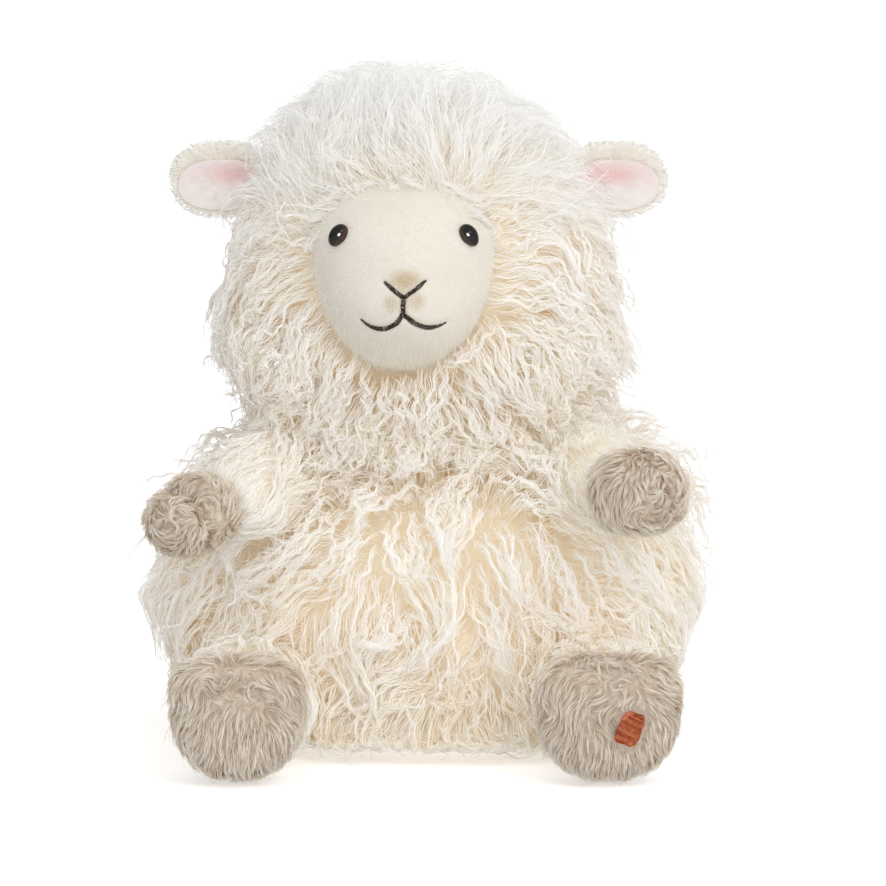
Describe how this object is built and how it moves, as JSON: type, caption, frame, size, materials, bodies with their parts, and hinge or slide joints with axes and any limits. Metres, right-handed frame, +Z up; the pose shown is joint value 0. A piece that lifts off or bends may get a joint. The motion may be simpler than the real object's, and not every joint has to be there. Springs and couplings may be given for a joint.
{
  "type": "plush sheep",
  "caption": "Seated plush sheep in long curly cream wool, with lined ears, a stitched nose and mouth, and a turning head, swinging arms, lifting legs and wagging tail.",
  "frame": {"origin": "middle of the bounding box's underside, on the surface that the sheep sits on", "axes": "+Z up; the sheep looks along -Y, with its feet towards -Y; +X is the sheep's own left"},
  "size_m": [0.249, 0.2555, 0.298],
  "materials": {
    "curly_wool": "long curly acrylic pile",
    "face_velour": "short velour pile",
    "sleeve_plush": "short plush pile",
    "hoof_plush": "combed plush pile",
    "ear_lining": "short plush pile",
    "eye_plastic": "polished",
    "washer_plastic": "moulded",
    "dark_thread": "satin stitch",
    "sewing_thread": "matte thread",
    "badge_thread": "satin stitch",
    "polyester_filling": "loose fibre",
    "bag_cloth": "plain weave",
    "pellets": "moulded"
  },
  "bodies": {
    "torso": {"body_fleece": "curly_wool", "body_stuffing": "polyester_filling", "pellet_bag": "bag_cloth", "pellet_fill": "pellets", "neck_seam": "sewing_thread", "shoulder_seam_left": "sewing_thread", "shoulder_seam_right": "sewing_thread", "hip_seam_left": "sewing_thread", "hip_seam_right": "sewing_thread"},
    "neck": {"neck_plug": "polyester_filling"},
    "head": {"head_fleece": "curly_wool", "head_stuffing": "polyester_filling", "face_panel": "face_velour", "eye_left": "eye_plastic", "eye_right": "eye_plastic", "eye_washer_left": "washer_plastic", "eye_washer_right": "washer_plastic", "nose_stitching": "dark_thread", "philtrum_stitching": "dark_thread", "mouth_stitching": "dark_thread"},
    "ear_left": {"ear_left_back": "sleeve_plush", "ear_left_lining": "ear_lining"},
    "ear_right": {"ear_right_back": "sleeve_plush", "ear_right_lining": "ear_lining"},
    "arm_left": {"arm_left_sleeve": "sleeve_plush", "arm_left_stuffing": "polyester_filling", "paw_left": "hoof_plush"},
    "arm_right": {"arm_right_sleeve": "sleeve_plush", "arm_right_stuffing": "polyester_filling", "paw_right": "hoof_plush"},
    "leg_left": {"leg_left_fleece": "curly_wool", "leg_left_stuffing": "polyester_filling", "foot_left": "hoof_plush", "foot_badge": "badge_thread"},
    "leg_right": {"leg_right_fleece": "curly_wool", "leg_right_stuffing": "polyester_filling", "foot_right": "hoof_plush"},
    "tail": {"tail_fleece": "curly_wool", "tail_stuffing": "polyester_filling"}
  },
  "joints": [
    {"name": "head_nod", "type": "hinge", "parent": "torso", "child": "neck", "pos_m": [0.001, 0.005, 0.14], "axis": [1, 0, 0], "range_deg": [-10, 10], "stiffness_Nm_per_rad": 0.9},
    {"name": "head_turn", "type": "hinge", "parent": "neck", "child": "head", "pos_m": [0.001, 0.005, 0.14], "axis": [0, 0, 1], "range_deg": [-40, 40], "stiffness_Nm_per_rad": 0.3},
    {"name": "ear_left_flop", "type": "hinge", "parent": "head", "child": "ear_left", "pos_m": [0.0735, -0.002, 0.256], "axis": [0, 1, 0], "range_deg": [-25, 10], "stiffness_Nm_per_rad": 0.05},
    {"name": "ear_right_flop", "type": "hinge", "parent": "head", "child": "ear_right", "pos_m": [-0.0795, -0.002, 0.256], "axis": [0, 1, 0], "range_deg": [-10, 25], "stiffness_Nm_per_rad": 0.05},
    {"name": "arm_left_swing", "type": "hinge", "parent": "torso", "child": "arm_left", "pos_m": [0.071, -0.048, 0.128], "axis": [1, 0, 0], "range_deg": [-48, 10], "stiffness_Nm_per_rad": 0.12},
    {"name": "arm_right_swing", "type": "hinge", "parent": "torso", "child": "arm_right", "pos_m": [-0.067, -0.0475, 0.126], "axis": [1, 0, 0], "range_deg": [-48, 10], "stiffness_Nm_per_rad": 0.12},
    {"name": "leg_left_lift", "type": "hinge", "parent": "torso", "child": "leg_left", "pos_m": [0.077, -0.0625, 0.0295], "axis": [1, 0, 0], "range_deg": [-25, 0], "stiffness_Nm_per_rad": 0.3},
    {"name": "leg_right_lift", "type": "hinge", "parent": "torso", "child": "leg_right", "pos_m": [-0.078, -0.062, 0.029], "axis": [1, 0, 0], "range_deg": [-25, 0], "stiffness_Nm_per_rad": 0.3},
    {"name": "tail_wag", "type": "hinge", "parent": "torso", "child": "tail", "pos_m": [0.003, 0.111, 0.072], "axis": [0, 1, 0], "range_deg": [-35, 35], "stiffness_Nm_per_rad": 0.05}
  ]
}
